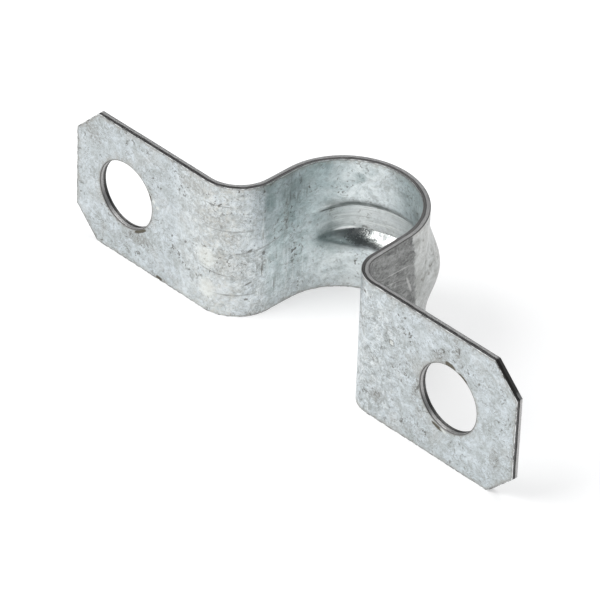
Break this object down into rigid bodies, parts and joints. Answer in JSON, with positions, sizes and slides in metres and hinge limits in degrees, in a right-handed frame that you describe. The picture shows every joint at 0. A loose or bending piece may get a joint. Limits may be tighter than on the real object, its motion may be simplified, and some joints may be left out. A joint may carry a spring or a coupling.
{
  "type": "conduit strap",
  "caption": "Folded sheet steel conduit strap: a half-round ribbed saddle between flat ears, each with a screw hole and clipped corners.",
  "frame": {"origin": "midway between the two screw holes, on the mounting faces, at mid-width of the strip", "axes": "+X along the ears, +Y from the wall towards the crown of the saddle, +Z along the conduit"},
  "size_m": [0.0746, 0.021, 0.019],
  "materials": {
    "zinc": "dull galvanised, mottled and scuffed"
  },
  "bodies": {
    "root": {"strap": "zinc"}
  },
  "joints": []
}
